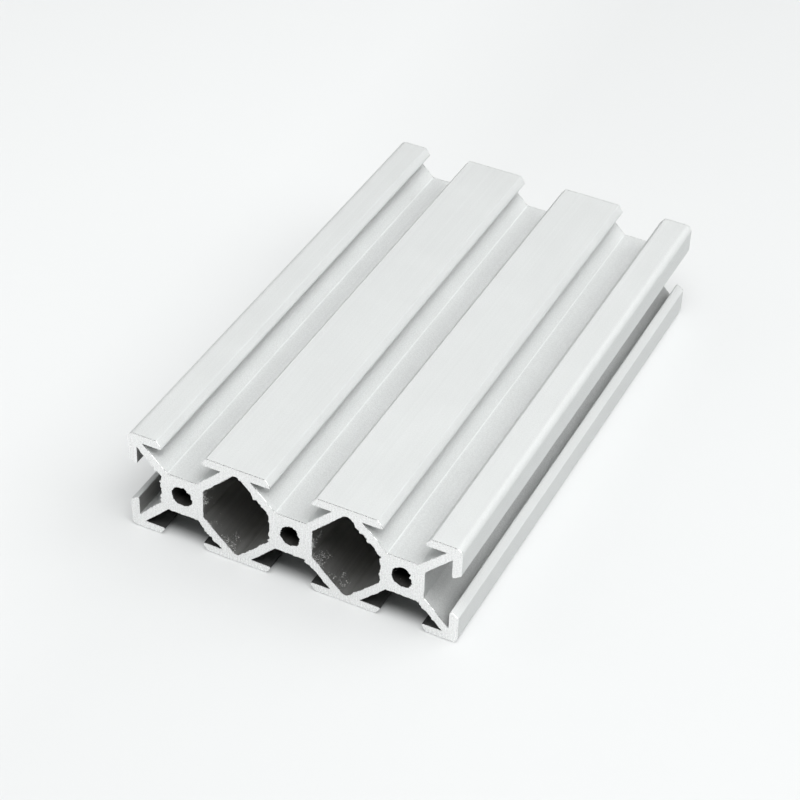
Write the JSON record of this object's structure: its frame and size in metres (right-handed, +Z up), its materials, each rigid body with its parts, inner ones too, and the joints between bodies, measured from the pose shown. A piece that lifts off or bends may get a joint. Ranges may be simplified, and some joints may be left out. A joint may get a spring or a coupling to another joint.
{
  "type": "aluminium extrusion profile",
  "caption": "Sawn length of flat aluminium T-slot profile with diagonal webs, cored hubs and hollows, for bolted frames and machine bases.",
  "frame": {"origin": "centre of the underside, midway along the length", "axes": "+Y along the length, away from the sawn end that the picture shows; +X across the width; +Z up"},
  "size_m": [0.06, 0.1, 0.02],
  "materials": {
    "anodised_aluminium": "satin clear anodised sides, bare sawn ends"
  },
  "bodies": {
    "root": {"profile": "anodised_aluminium"}
  },
  "joints": []
}
